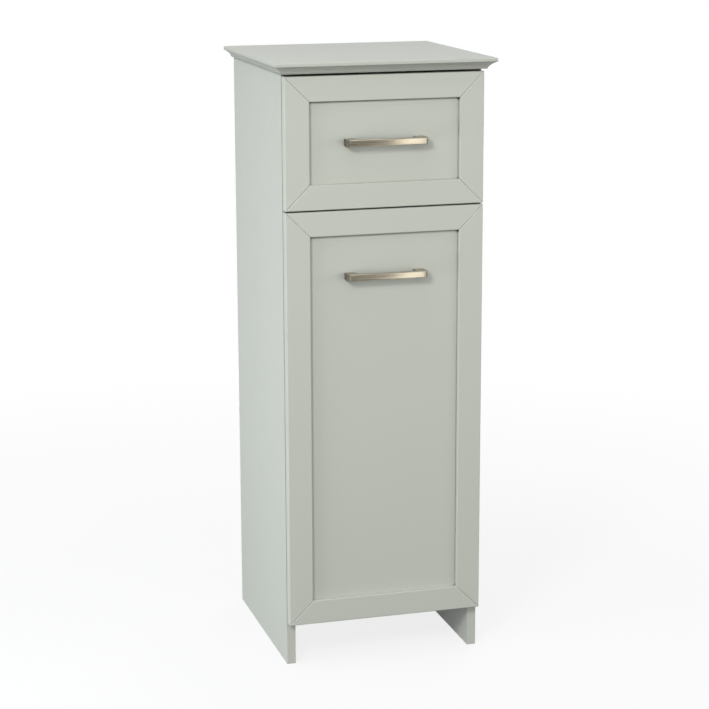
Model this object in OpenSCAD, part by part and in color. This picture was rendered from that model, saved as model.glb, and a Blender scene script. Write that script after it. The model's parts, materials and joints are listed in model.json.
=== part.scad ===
// Narrow bathroom cabinet: a drawer above a tilt-out laundry hamper, on two side boards that
// run down to the floor as legs. Millimetres, +Z up. The origin is on the floor under the
// middle of the cabinet, the front faces -Y, and right means +X.

/* [Overall] */
// Width of the top board, the widest piece
overall_w = 300; // [280:1:400]
// Depth of the top board, from its front edge to the wall
overall_d = 300; // [285:1:380]
// Height from the floor to the top surface
overall_h = 820; // [760:1:900]

/* [Boards] */
// Thickness of the side boards, shelves and inner boards
board_t = 12; // [11:0.5:16]
// Thickness of the top board
top_t = 15; // [13:0.5:20]
// Thickness of the back panel
back_t = 3; // [2.5:0.5:5]
// Distance from the rear edge of the side boards to the back panel
back_inset = 9; // [6:0.5:14]
// How far the top board stands past each side board
top_side_over = 14; // [10:0.5:18]
// How far the top board stands past the front faces
top_front_over = 12.5; // [7:0.5:18]

/* [Top moulding] */
// Upright lip at the upper edge of the top board
lip_h = 5; // [3:0.5:6]
// Radius of the lip's two edges
lip_r = 1.2; // [0.5:0.1:1.5]
// Height of the small bead under the cove
bead_h = 2; // [1.5:0.5:4]
// How far the bead stands out from the side boards
bead_side_out = 4; // [1:0.5:6]
// How far the bead stands out from the front faces
bead_front_out = 0.5; // [0.5:0.5:4]
// Radius of the bead's lower edge
bead_r = 1.4; // [0.5:0.1:1.5]
// Radius of the hollow cove between the lip and the bead
cove_r = 20; // [9:0.5:40]

/* [Fronts] */
// Thickness of the mitred front frames
front_t = 14; // [13:0.5:18]
// Gap between the front frames and the carcass
front_gap = 1; // [1:0.1:3]
// How far each front stays inside the outer face of the side boards
front_side_in = 0.5; // [0.5:0.5:4]
// Open gap between the top board and the drawer front
top_gap = 3; // [2:0.5:5]
// Gap between the drawer front and the hamper front
mid_gap = 2; // [1.5:0.5:5]
// Height of the drawer front
drawer_front_h = 174; // [150:1:220]
// Clear height of the legs under the hamper front
leg_h = 60; // [40:1:100]
// Width of the four members of each frame
rail_w = 33; // [28:1:45]
// Thickness of the centre panels
panel_t = 5; // [4:0.5:6]
// Depth of the centre panels behind the face of the frame
panel_recess = 6.5; // [4:0.5:7]
// Depth of the groove that holds a centre panel
groove_depth = 5; // [3:0.5:7]
// Radius of the eased front edges of the frames
edge_r = 1.2; // [0.5:0.1:2.5]
// Depth of the fine V groove along each mitre
mitre_v = 0.9; // [0.3:0.1:1.2]

/* [Handles] */
// Overall length of a handle
handle_len = 109; // [108:0.5:150]
// Distance between the two screws of a handle
handle_pitch = 96; // [64:1:98]
// Height of the bar and its feet
handle_h = 9; // [8:0.5:14]
// How far a handle stands out from the centre panel
handle_reach = 18.8; // [16:0.1:30]
// Thickness of the bar, front to back
handle_bar_t = 5; // [4:0.5:7]
// Width of a foot where it meets the panel
handle_foot_w = 14; // [12:0.5:18]
// Radius between the bar and each foot on the inside
handle_fillet = 7; // [2:0.5:9]
// Radius at each end of the bar
handle_round = 3; // [1:0.5:4.5]
// Drop from the top of the hamper front to the middle of its handle
hamper_handle_drop = 88; // [60:0.5:120]

/* [Drawer box] */
// Distance from the upper edge of the drawer front down to the box
box_drop = 16; // [12:0.5:20]
// Distance from the lower edge of the drawer front up to the box
box_lift = 12; // [10:0.5:20]
// Thickness of the drawer bottom
box_bottom_t = 3; // [3:0.5:5]
// Distance from the lower edge of the box up to its bottom panel
box_bottom_up = 12; // [11:0.5:20]
// Free space beside the drawer box on each side, for a runner
side_space = 12.5; // [12.5:0.5:15]

/* [Runners] */
// Thickness of the runner steel
sheet_t = 1.2; // [1:0.1:1.4]
// Radius of the nylon rollers
roller_r = 9; // [7:0.5:10]
// Width of the nylon rollers
roller_w = 6.8; // [5:0.1:7]
// Radius of the roller axles
axle_r = 2; // [1.5:0.1:2.5]

/* [Tilting hamper] */
// Outer radius of the hinge barrels
barrel_r = 2.5; // [2.3:0.1:3]
// Radius of the hinge pins
pin_r = 1.25; // [1:0.05:1.5]
// Width of each hinge
hinge_w = 40; // [30:1:50]
// Distance from the inside of a side board to the middle of its hinge
hinge_in = 55; // [50:1:80]
// Length of the hinge leaves behind the barrel
leaf_len = 22; // [18:1:25]
// Play between the hamper sides and the side boards
hamper_play = 3; // [2:0.5:6]
// Free space between the hamper sides and the back panel
hamper_back_clear = 16; // [10:1:40]
// Height of the rail that stops the tilting hamper
stop_rail_h = 26; // [22:1:34]
// Width of the stop hook at the rear of each hamper side
hook_w = 14.2; // [10:0.1:25]
// Radius of the two rods that carry the bag
rod_r = 3; // [2:0.5:4]
// Height of the bag's floor above the bottom board
bag_lift = 25; // [10:1:60]
// Depth of the bag at its floor
bag_floor_d = 132; // [80:1:160]

/* [Hidden] */

$fn = 48;
fine_fn = 360; // segments of the large arcs of the hamper sides
cut = 1; // how far a cutting shape runs past the face that it opens
fit = 0.05; // radial clearance of pins, screws, dowels and bolts in their holes
slide_fit = 0.1; // clearance of a panel in its groove and of a cam in its pocket

// Colours
sage = [0.74, 0.76, 0.71];
foil = [0.9, 0.9, 0.88];
zinc = [0.7, 0.71, 0.72];
nickel = [0.66, 0.62, 0.56];
white_steel = [0.93, 0.93, 0.91];
beech = [0.8, 0.65, 0.45];
linen = [0.86, 0.82, 0.74];

// Main faces and heights
front_y = -overall_d / 2;
back_y = overall_d / 2;
carcass_h = overall_h - top_t;
outer_x = overall_w / 2 - top_side_over;
inner_x = outer_x - board_t;
face_y = front_y + top_front_over;
face_back_y = face_y + front_t;
carcass_y = face_back_y + front_gap;
back_panel_y = back_y - back_inset - back_t;
side_d = back_y - carcass_y;
side_mid_x = inner_x + board_t / 2;

// Fronts
front_w = 2 * (outer_x - front_side_in);
drawer_top_z = carcass_h - top_gap;
drawer_z = drawer_top_z - drawer_front_h;
hamper_top_z = drawer_z - mid_gap;
hamper_h = hamper_top_z - leg_h;
panel_y = face_y + panel_recess;
tongue = groove_depth - 0.5; // the part of a panel's edge that sits in the groove
back_ease = 1.5; // bevel behind the hamper's lower edge, clear of the hinge barrels

// Screws
screw_r = 1.75;
screw_head_r = 3.3;
screw_head_h = 1.2;
screw_tip = 3;
screw_len = 12;
leaf_screw_share = 0.6; // place of a screw along a hinge leaf
recess_w = 0.9; // width of a cross recess
long_screw_len = 22;
machine_r = 2;
machine_head_r = 4;
machine_head_h = 2.4;
machine_grip = 7; // thread that a handle screw has in the foot of a handle
confirmat_r = 2.5;
confirmat_head_r = 4.5;
confirmat_len = 40;

// Cam joints: the cam's centre lies cam_reach from the joint
cam_r = 7.5;
cam_skin = 2.5; // board left under a cam
cam_reach = 24;
bolt_r = 2.4;
bolt_head_r = 3.2;
bolt_head_l = 3;
bolt_bore_r = 3.6;
thread_r = 2.5;
thread_l = 9;
dowel_r = 3;
dowel_in = 15; // dowel in the end of a board
dowel_out = 8.5; // dowel in the face of the other board

// Hinge axis of the hamper, along X at the lower rear edge of its front
hinge_x = inner_x - hinge_in;
hinge_y = face_back_y + barrel_r;
hinge_z = leg_h;
leaf_t = screw_head_h;
knuckles = 5;
knuckle_gap = 0.2;
barrel_clear = 0.4; // from a barrel to the notch of the other leaf
pin_head = 0.8;

// Boards between the sides
board_setback = 3; // bottom board behind the front edges of the side boards
bottom_z = hinge_z + barrel_r;
bottom_y = carcass_y + board_setback;
divider_z = drawer_z - board_t;
stop_rail_setback = 16;
stop_rail_y = carcass_y + stop_rail_setback;
stop_rail_z = divider_z - stop_rail_h;

// Places along the depth for the cams, dowels and pins, from the front edge of the side boards
cam_front = 62;
cam_rear = 60; // from the back panel
top_cam_front = 52;
top_dowel_in = 24; // from the front and rear edges of the side boards
pin_r_nail = 0.8;
pin_l_nail = 20;
pin_head_r = 1.8;
pin_head_l = 0.6;

// Runners, seen from the front: u runs inwards from the side board, v up from the lower edge
run_gap = 0.3; // between a roller and its tracks
runner_front = 2.5;
runner_back_gap = 8;
runner_y = carcass_y + runner_front;
runner_len = back_panel_y - runner_back_gap - runner_y;
runner_drop = 4; // from the box's lower edge down to the runner's
runner_screw_in = 34; // from the ends of a runner to its screws
box_z = drawer_z + box_lift;
runner_z = box_z - runner_drop;
roller_v = sheet_t + run_gap + roller_r;
flange_v = roller_v + roller_r + run_gap;
top_flange_v = flange_v + sheet_t + run_gap;
runner_h = top_flange_v + sheet_t;
web_gap = 0.4; // between the track's lip and the drawer's slide
lip_t = 0.8;
track_w = side_space - sheet_t - web_gap;
roller_u = side_space / 2; // middle of the rollers
roller_play = 0.3;
axle_head = 0.7;
roller_end = 12; // from the end of a runner to the middle of its roller
front_roller_y = runner_y + roller_end;
rear_roller_y = runner_y + runner_len - roller_end;

// Drawer box
box_x = inner_x - side_space;
box_in_x = box_x - board_t;
box_front_y = face_back_y;
box_short = 3.5; // from the end of the runner to the end of the box
box_len = runner_y + runner_len - box_short - box_front_y;
box_h = drawer_front_h - box_drop - box_lift;
box_back_y = box_front_y + box_len - board_t;
box_groove = 4;
box_screw_in = 30; // height of a corner screw from the upper or lower edge
front_screw_in = 12.5; // from the inside of the box to a screw that holds the drawer front
slide_setback = 0.5;
slide_screw_front = 40;
slide_screw_rear = 30;

// Handles
drawer_handle_z = drawer_z + drawer_front_h / 2;
hamper_handle_z = hamper_top_z - hamper_handle_drop;
handle_chamfer = 0.8;

// Hamper sides, measured from the hinge axis: y to the back and z up
arc_clear = 8; // under the stop rail
hook_clear = 11; // under the divider board
stop_gap = 0.3;
arc_r = stop_rail_z - hinge_z - arc_clear;
hook_r = divider_z - hinge_z - hook_clear;
hamper_d = back_panel_y - hamper_back_clear - hinge_y;
stop_y = stop_rail_y + board_t - hinge_y + stop_gap;
open_angle = asin((hamper_d - hook_w) / hook_r) - asin(stop_y / hook_r);
hamper_lift = 1.5; // from the bottom board up to the hamper sides
hamper_slant = 90; // how much shallower the sides are at the bottom
hook_len = 120; // height of the straight rear edge, below the hook's top
hamper_low = board_t + barrel_r + hamper_lift;
hamper_low_d = hamper_d - hamper_slant;
hamper_wide_z = hook_r - hook_len;
hamper_x = inner_x - hamper_play - board_t;
hamper_joints = [60, 400];
hamper_dowel_z = [120, 450];

// Rods and bag, measured from the hinge axis
rod_drop = 30; // below the curved upper edge of the hamper sides
rod_fit = 0.1;
rod_seat = 6; // depth of the slot in a hamper side
rod_end_gap = 0.5;
rod_front_y = 22;
rod_rear_in = 43; // from the rear edge of the hamper sides to the rear rod
rod_rear_y = hamper_d - rod_rear_in;
rod_front_z = sqrt(arc_r * arc_r - rod_front_y * rod_front_y) - rod_drop;
rod_rear_z = sqrt(arc_r * arc_r - rod_rear_y * rod_rear_y) - rod_drop;
bag_t = 2;
bag_side_gap = 6;
bag_x = hamper_x - bag_side_gap;
sleeve_gap = 0.3;
sleeve_r = rod_r + sleeve_gap + bag_t;
bag_front_y = rod_front_y - sleeve_r;
bag_rear_y = rod_rear_y + sleeve_r;
bag_z = board_t + barrel_r + bag_lift;

// Magnetic catch under the divider board
strike_t = 1;
strike_w = 36;
strike_h = 12;
magnet_gap = 0.3;
pole_out = 0.5;
catch_w = 46;
catch_body_w = 28;
catch_d = 13;
catch_h = 11;
catch_ear_t = 2.5;
catch_wall = 1.3;
pole_t = 1.4;
pole_y = face_back_y + strike_t + magnet_gap;
catch_y = pole_y + pole_out;
catch_screw_x = (catch_w + catch_body_w) / 4;

// Bumpers on the front edges of the side boards
bumper_r = 4;
bumper_t = front_gap - 0.3;
bumper_in = 14; // from the corner of a front to the middle of a bumper

// Directions: turn a shape that points up so that it points another way
module to_front() rotate([90, 0, 0]) children();
module to_back() rotate([-90, 0, 0]) children();
module to_right() rotate([0, 90, 0]) children();
module to_left() rotate([0, -90, 0]) children();
module to_floor() rotate([180, 0, 0]) children();
module left_side() mirror([1, 0, 0]) children();
module both_sides() {
    children();
    left_side() children();
}

// Extrusions of a shape drawn in the front view (x, z) or in the side view (y, z)
module along_y(y, length) translate([0, y + length, 0]) rotate([90, 0, 0]) linear_extrude(length) children();
module along_x(x, length) translate([x, 0, 0]) rotate([90, 0, 90]) linear_extrude(length) children();

// Takes the corner at the origin off a shape in the first quadrant, leaving a radius
module corner_cut(r) difference() {
    translate([-cut, -cut]) square(r + cut);
    translate([r, r]) circle(r);
}

// Fasteners. Each lies along Z with the face of its head at z = 0 and its point downwards.
module cross_recess(length, depth) for (a = [0, 90]) rotate(a)
    translate([-length / 2, -recess_w / 2, -depth]) cube([length, recess_w, depth + cut]);

module wood_screw(length) difference() {
    union() {
        translate([0, 0, -screw_head_h]) cylinder(h = screw_head_h, r1 = screw_r, r2 = screw_head_r);
        translate([0, 0, screw_tip - length]) cylinder(h = length - screw_tip - screw_head_h, r = screw_r);
        translate([0, 0, -length]) cylinder(h = screw_tip, r1 = screw_r / 4, r2 = screw_r);
    }
    cross_recess(3.2, 0.9);
}

module wood_screw_hole(length) {
    translate([0, 0, -screw_head_h]) cylinder(h = screw_head_h, r1 = screw_r + fit, r2 = screw_head_r + fit);
    translate([0, 0, -length]) cylinder(h = length, r = screw_r + fit);
    cylinder(h = cut, r = screw_head_r + fit);
}

module pan_screw(length, r) difference() {
    union() {
        translate([0, 0, -machine_head_h]) cylinder(h = machine_head_h, r = machine_head_r);
        translate([0, 0, -machine_head_h - length]) cylinder(h = length, r = r);
    }
    cross_recess(4, 1.4);
}

module confirmat() difference() {
    union() {
        translate([0, 0, -confirmat_head_r])
            cylinder(h = confirmat_head_r, r1 = confirmat_r, r2 = confirmat_head_r);
        translate([0, 0, screw_tip - confirmat_len]) cylinder(h = confirmat_len - screw_tip, r = confirmat_r);
        translate([0, 0, -confirmat_len]) cylinder(h = screw_tip, r1 = confirmat_r / 2, r2 = confirmat_r);
    }
    translate([0, 0, -2.5]) cylinder(h = 2.5 + cut, r = 2.2, $fn = 6);
}

module confirmat_hole() {
    translate([0, 0, -confirmat_head_r])
        cylinder(h = confirmat_head_r, r1 = confirmat_r + fit, r2 = confirmat_head_r + fit);
    translate([0, 0, -confirmat_len]) cylinder(h = confirmat_len, r = confirmat_r + fit);
    cylinder(h = cut, r = confirmat_head_r + fit);
}

// Cam joint. The origin is on the board's face at the cam's centre, +Z leaves the face and the
// bolt runs along +X through the end of the board into the other board.
module cam_pocket() {
    translate([0, 0, cam_skin - board_t]) cylinder(h = board_t - cam_skin + cut, r = cam_r);
    translate([0, 0, -board_t / 2]) to_right() cylinder(h = cam_reach + cut, r = bolt_bore_r);
}

module cam_lock() difference() {
    translate([0, 0, cam_skin - board_t + slide_fit])
        cylinder(h = board_t - cam_skin - slide_fit, r = cam_r - slide_fit);
    translate([-bolt_head_r - cut, -bolt_head_r - 3 * fit, cam_skin - board_t])
        cube([2 * cam_r, 2 * (bolt_head_r + 3 * fit), board_t / 2 - cam_skin + bolt_head_r + 3 * fit]);
    cross_recess(9, 1.6);
}

module cam_bolt() translate([0, 0, -board_t / 2]) to_right() {
    translate([0, 0, -bolt_head_l / 2]) cylinder(h = bolt_head_l, r = bolt_head_r);
    cylinder(h = cam_reach, r = bolt_r);
    translate([0, 0, cam_reach - 1]) cylinder(h = 1, r = bolt_head_r);
    translate([0, 0, cam_reach]) cylinder(h = thread_l, r = thread_r);
}

module bolt_socket() translate([cam_reach - cut, 0, -board_t / 2]) to_right()
    cylinder(h = thread_l + cut + slide_fit, r = thread_r + fit);

// Dowel joint: the origin is on the joint and +Z runs into the other board
module dowel() translate([0, 0, -dowel_in]) cylinder(h = dowel_in + dowel_out, r = dowel_r);
module dowel_hole() translate([0, 0, -dowel_in - slide_fit])
    cylinder(h = dowel_in + dowel_out + 2 * slide_fit, r = dowel_r + fit);

// Places of the joints on the right-hand side
module at_top_cams() for (y = [carcass_y + top_cam_front, back_panel_y - cam_rear])
    translate([inner_x, y, carcass_h - cam_reach]) to_left() children();

module at_shelf_cams(z) for (y = [carcass_y + cam_front, back_panel_y - cam_rear])
    translate([inner_x - cam_reach, y, z]) to_floor() children();

module at_rail_cams() translate([inner_x - cam_reach, stop_rail_y + board_t, stop_rail_z + stop_rail_h / 2])
    to_back() children();

module at_top_dowels() for (y = [carcass_y + top_dowel_in, back_y - top_dowel_in])
    translate([side_mid_x, y, carcass_h]) children();

module at_shelf_dowel(z) translate([inner_x, (carcass_y + back_panel_y) / 2, z + board_t / 2])
    to_right() children();

module at_hamper_cams() for (z = hamper_joints)
    translate([hamper_x, face_back_y + cam_reach, hinge_z + z]) to_front() to_left() children();

module at_hamper_dowels() for (z = hamper_dowel_z)
    translate([hamper_x + board_t / 2, face_back_y, hinge_z + z]) to_front() children();

module at_runner_screws()
    for (y = [runner_y + runner_screw_in, runner_y + runner_len / 2, runner_y + runner_len - runner_screw_in])
    translate([inner_x - sheet_t, y, runner_z + roller_v]) to_left() children();

module at_hinge_base_screws() for (x = [hinge_x - hinge_w / 4, hinge_x + hinge_w / 4])
    translate([x, hinge_y + leaf_len * leaf_screw_share, bottom_z - leaf_t]) to_floor() children();

module at_hinge_leaf_screws() for (x = [hinge_x - hinge_w / 4, hinge_x + hinge_w / 4])
    translate([x, face_back_y + leaf_t, hinge_z + leaf_len * leaf_screw_share]) to_back() children();

module at_catch_screws() translate([catch_screw_x, catch_y + catch_d / 2, divider_z - catch_ear_t])
    to_floor() children();

module at_strike_screw() translate([0, face_back_y + strike_t, divider_z - catch_h / 2]) to_back() children();

module at_back_pins() for (x = [-inner_x * 0.75, 0, inner_x * 0.75], z = [bottom_z, divider_z])
    translate([x, back_panel_y + back_t, z + board_t / 2]) to_back() children();

module at_slide_screws() for (y = [slide_screw_front, box_len / 2, box_len - slide_screw_rear])
    translate([box_x - board_t / 2, box_front_y + y, box_z - sheet_t]) to_floor() children();

// The screws of the drawer front lie where the box covers the solid part of its two rails
module at_front_screws() {
    low = box_z + box_bottom_up / 2;
    high = (drawer_top_z - rail_w + groove_depth + box_z + box_h) / 2;
    for (z = [low, high])
        translate([box_in_x - front_screw_in, box_front_y + board_t, z]) to_back() children();
}

module at_box_front_screws() for (z = [box_z + box_screw_in, box_z + box_h - box_screw_in])
    translate([box_x - board_t / 2, box_front_y, z]) to_front() children();

module at_box_back_screws() for (z = [box_z + box_screw_in, box_z + box_h - box_screw_in])
    translate([box_x, box_back_y + board_t / 2, z]) to_right() children();

// Top board: a lip, a hollow cove and a bead along the front and both sides, flush at the back.
// This is what is taken away round the lip, with the lip's lower corner at the origin.
module moulding_cut(over, bead_out) {
    cove_in = over - bead_out;
    cove_h = top_t - lip_h - bead_h;
    half = norm([cove_in, cove_h]) / 2;
    r = max(cove_r, half * 1.05);
    rise = sqrt(r * r - half * half);
    intersection() {
        union() {
            polygon([[0, 0], [-cove_in, -cove_h], [cut, -cove_h]]);
            translate([-cove_in / 2 + rise * cove_h / (2 * half), -cove_h / 2 - rise * cove_in / (2 * half)])
                circle(r, $fn = fine_fn);
        }
        translate([-over, -cove_h]) square([over + cut, cove_h]);
    }
    translate([-cove_in, -cove_h - bead_h - cut]) square([cove_in + cut, bead_h + cut]);
    translate([-cove_in, -cove_h - bead_h]) mirror([1, 0]) corner_cut(bead_r);
    mirror([1, 0]) corner_cut(lip_r);
    translate([0, lip_h]) rotate(180) corner_cut(lip_r);
}

module top_board() color(sage) difference() {
    translate([-overall_w / 2, front_y, carcass_h]) cube([overall_w, overall_d, top_t]);
    both_sides() along_y(front_y - cut, overall_d + 2 * cut)
        translate([overall_w / 2, overall_h - lip_h]) moulding_cut(top_side_over, bead_side_out);
    along_x(-overall_w / 2 - cut, overall_w + 2 * cut)
        translate([front_y, overall_h - lip_h]) mirror([1, 0]) moulding_cut(top_front_over, bead_front_out);
    both_sides() {
        at_top_cams() bolt_socket();
        at_top_dowels() dowel_hole();
    }
}

module side_board() color(sage) difference() {
    translate([inner_x, carcass_y, 0]) cube([board_t, side_d, carcass_h]);
    translate([inner_x - cut, back_panel_y - slide_fit, -cut])
        cube([cut + groove_depth, back_t + 2 * slide_fit, carcass_h + 2 * cut]);
    at_top_cams() cam_pocket();
    at_top_dowels() dowel_hole();
    for (z = [bottom_z, divider_z]) {
        at_shelf_cams(z) bolt_socket();
        at_shelf_dowel(z) dowel_hole();
    }
    at_rail_cams() bolt_socket();
    at_runner_screws() wood_screw_hole(screw_len);
}

module shelf(y, z) difference() {
    translate([-inner_x, y, z]) cube([2 * inner_x, back_panel_y - y, board_t]);
    both_sides() {
        at_shelf_cams(z) cam_pocket();
        at_shelf_dowel(z) dowel_hole();
    }
    at_back_pins() back_pin_hole();
}

module bottom_board() color(sage) difference() {
    shelf(bottom_y, bottom_z);
    both_sides() at_hinge_base_screws() wood_screw_hole(screw_len);
}

module divider_board() color(sage) difference() {
    shelf(carcass_y, divider_z);
    both_sides() at_catch_screws() wood_screw_hole(screw_len);
}

module back_panel() color(foil) difference() {
    translate([-inner_x - tongue, back_panel_y, bottom_z])
        cube([2 * (inner_x + tongue), back_t, carcass_h - bottom_z]);
    at_back_pins() back_pin_hole();
}

module stop_rail() color(sage) difference() {
    translate([-inner_x, stop_rail_y, stop_rail_z]) cube([2 * inner_x, board_t, stop_rail_h]);
    both_sides() at_rail_cams() cam_pocket();
}

module cam_locks() color(zinc) both_sides() {
    at_top_cams() cam_lock();
    for (z = [bottom_z, divider_z]) at_shelf_cams(z) cam_lock();
    at_rail_cams() cam_lock();
}

module cam_bolts() color(zinc) both_sides() {
    at_top_cams() cam_bolt();
    for (z = [bottom_z, divider_z]) at_shelf_cams(z) cam_bolt();
    at_rail_cams() cam_bolt();
}

module wood_dowels() color(beech) both_sides() {
    at_top_dowels() dowel();
    for (z = [bottom_z, divider_z]) at_shelf_dowel(z) dowel();
}

module back_pin() {
    cylinder(h = pin_head_l, r = pin_head_r);
    translate([0, 0, -pin_l_nail]) cylinder(h = pin_l_nail, r = pin_r_nail);
}

module back_pin_hole() translate([0, 0, -pin_l_nail - slide_fit])
    cylinder(h = pin_l_nail + slide_fit + cut, r = pin_r_nail + fit);

module back_panel_pins() color(zinc) at_back_pins() back_pin();

module catch_housing() color(white_steel) difference() {
    union() {
        translate([-catch_body_w / 2, catch_y, divider_z - catch_h]) cube([catch_body_w, catch_d, catch_h]);
        translate([-catch_w / 2, catch_y, divider_z - catch_ear_t]) cube([catch_w, catch_d, catch_ear_t]);
    }
    translate([catch_wall - catch_body_w / 2, catch_y - cut, divider_z - catch_h + catch_wall])
        cube([catch_body_w - 2 * catch_wall, catch_d - catch_wall + cut, catch_h - 2 * catch_wall]);
    both_sides() at_catch_screws() wood_screw_hole(screw_len);
}

// The magnet and its two steel pole plates, which reach out of the housing
module catch_magnet() color(zinc) {
    wide = catch_body_w - 2 * catch_wall - 2 * slide_fit;
    deep = catch_y + catch_d - catch_wall - slide_fit - pole_y;
    low = divider_z - catch_h + catch_wall + slide_fit;
    tall = catch_h - 2 * catch_wall - 2 * slide_fit;
    for (z = [low, low + tall - pole_t])
        translate([-wide / 2, pole_y, z]) cube([wide, deep, pole_t]);
    translate([-wide / 2, pole_y + 2 * pole_out, low]) cube([wide, deep - 2 * pole_out, tall]);
}

// Runner on the side board: a channel whose lower flange is the track of the rear roller
module runner() color(white_steel) {
    difference() {
        along_y(runner_y, runner_len) translate([inner_x, runner_z]) mirror([1, 0]) {
            square([sheet_t, runner_h]);
            square([track_w, sheet_t]);
            translate([track_w - lip_t, 0]) square([lip_t, sheet_t + run_gap + lip_t]);
            translate([0, top_flange_v]) square([track_w - lip_t - sheet_t, sheet_t]);
        }
        at_runner_screws() wood_screw_hole(screw_len);
    }
    translate([inner_x, front_roller_y, runner_z + roller_v]) to_left() roller_axle(sheet_t);
}

// Axle of a roller along Z, with a shoulder from its plate and a head past the roller
module roller_axle(plate) {
    low = roller_u - roller_w / 2 - roller_play;
    high = roller_u + roller_w / 2 + roller_play;
    translate([0, 0, plate - fit]) cylinder(h = low - plate + fit, r = axle_r + 1);
    translate([0, 0, plate - fit]) cylinder(h = high - plate + fit, r = axle_r);
    translate([0, 0, high]) cylinder(h = axle_head, r = axle_r + 1);
}

// Slide under the drawer side: its outer flange rides on the front roller
module drawer_slide() color(white_steel) {
    slide_y = box_front_y + slide_setback;
    difference() {
        along_y(slide_y, box_front_y + box_len - slide_y) translate([box_x, runner_z]) {
            low = box_z - runner_z - sheet_t;
            translate([0, low]) square([sheet_t, flange_v + sheet_t - low]);
            translate([-board_t, low]) square([board_t + sheet_t, sheet_t]);
            translate([0, flange_v]) square([roller_u + roller_w / 2, sheet_t]);
        }
        at_slide_screws() wood_screw_hole(screw_len);
    }
    translate([box_x, rear_roller_y, runner_z + roller_v]) to_right() roller_axle(sheet_t);
}

// Nylon roller along Z, hollowed on both faces between its hub and its tread
module roller() color("white") rotate_extrude() difference() {
    translate([axle_r + fit, -roller_w / 2]) square([roller_r - axle_r - fit, roller_w]);
    for (m = [0, 1]) mirror([0, m]) {
        translate([axle_r + 2, roller_w / 2 - 1]) square([roller_r - axle_r - 4, 1 + cut]);
        translate([roller_r, roller_w / 2]) circle(0.8);
    }
}

module roller_front() translate([inner_x - roller_u, front_roller_y, runner_z + roller_v])
    to_right() roller();
module roller_rear() translate([box_x + roller_u, rear_roller_y, runner_z + roller_v])
    to_right() roller();

// Hinge leaves, drawn for a barrel along X through the origin. The plate lies above the
// barrel and runs backwards. The two leaves share the knuckles in turn.
module knuckle_row(first) {
    w = hinge_w / knuckles;
    for (i = [first:2:knuckles - 1]) translate([i * w - hinge_w / 2 + knuckle_gap / 2, 0, 0])
        children();
}

module hinge_leaf_blank(first) {
    w = hinge_w / knuckles - knuckle_gap;
    free = barrel_r + barrel_clear;
    difference() {
        union() {
            knuckle_row(first) to_right() cylinder(h = w, r = barrel_r);
            knuckle_row(first) translate([0, 0, barrel_r - leaf_t]) cube([w, free + cut, leaf_t]);
            translate([-hinge_w / 2, free, barrel_r - leaf_t]) cube([hinge_w, leaf_len - free, leaf_t]);
        }
        translate([-hinge_w / 2 - cut, 0, 0]) to_right() cylinder(h = hinge_w + 2 * cut, r = pin_r + fit);
    }
}

// The leaf under the bottom board, and the leaf on the back of the hamper front
module hinge_base() color(zinc) difference() {
    translate([hinge_x, hinge_y, hinge_z]) hinge_leaf_blank(0);
    at_hinge_base_screws() wood_screw_hole(screw_len);
}

module hinge_leaf() color(zinc) difference() {
    translate([hinge_x, hinge_y, hinge_z]) rotate([90, 0, 0]) hinge_leaf_blank(1);
    at_hinge_leaf_screws() wood_screw_hole(screw_len);
}

module hinge_pin() color(zinc) translate([hinge_x - hinge_w / 2, hinge_y, hinge_z]) to_right() {
    cylinder(h = hinge_w, r = pin_r);
    for (z = [-pin_head, hinge_w]) translate([0, 0, z]) cylinder(h = pin_head, r = pin_r + 0.5);
}

module carcass_screws() color(zinc) both_sides() {
    at_runner_screws() wood_screw(screw_len);
    at_hinge_base_screws() wood_screw(screw_len);
    at_catch_screws() wood_screw(screw_len);
}

module front_bumpers() color("gainsboro") both_sides()
    for (z = [hamper_top_z - bumper_in, drawer_z + bumper_in, drawer_top_z - bumper_in])
        translate([side_mid_x, carcass_y, z]) to_front() cylinder(h = bumper_t, r = bumper_r);

// Frame member along +X: its outer edge at z = 0, its front face at y = 0, both ends mitred
module frame_profile(ease) difference() {
    square([front_t, rail_w]);
    corner_cut(edge_r);
    translate([0, rail_w]) mirror([0, 1]) corner_cut(edge_r);
    translate([panel_recess - slide_fit, rail_w - groove_depth])
        square([panel_t + 2 * slide_fit, groove_depth + cut]);
    if (ease > 0) translate([front_t, 0]) rotate(45) square(ease * sqrt(2), center = true);
}

module frame_member(length, ease = 0) color(sage) difference() {
    intersection() {
        along_x(0, length) frame_profile(ease);
        translate([0, front_t, 0]) rotate([90, 0, 0]) linear_extrude(front_t)
            polygon([[0, 0], [length, 0], [length - rail_w, rail_w], [rail_w, rail_w]]);
    }
    mitre_groove();
    translate([length, 0, 0]) mirror([1, 0, 0]) mitre_groove();
}

module mitre_groove() {
    side = mitre_v * sqrt(2);
    rotate([0, -45, 0]) rotate([45, 0, 0]) translate([-cut, -side / 2, -side / 2])
        cube([rail_w * sqrt(2) + 2 * cut, side, side]);
}

module front_rail_bottom(z, ease = 0) translate([-front_w / 2, face_y, z]) frame_member(front_w, ease);
module front_rail_top(z, h) translate([-front_w / 2, face_y, z + h]) mirror([0, 0, 1]) frame_member(front_w);
module front_stile(z, h) translate([front_w / 2, face_y, z]) rotate([0, -90, 0]) frame_member(h);

module front_panel(z, h) color(sage) {
    w = front_w - 2 * rail_w + 2 * tongue;
    translate([-w / 2, panel_y, z + rail_w - tongue]) cube([w, panel_t, h - 2 * rail_w + 2 * tongue]);
}

// Screw holes of a handle, through everything behind the centre panel's face
module handle_holes(z) both_sides() translate([handle_pitch / 2, panel_y - cut, z])
    to_back() cylinder(h = cut + box_front_y + board_t + cut - panel_y, r = machine_r + fit);

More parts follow.
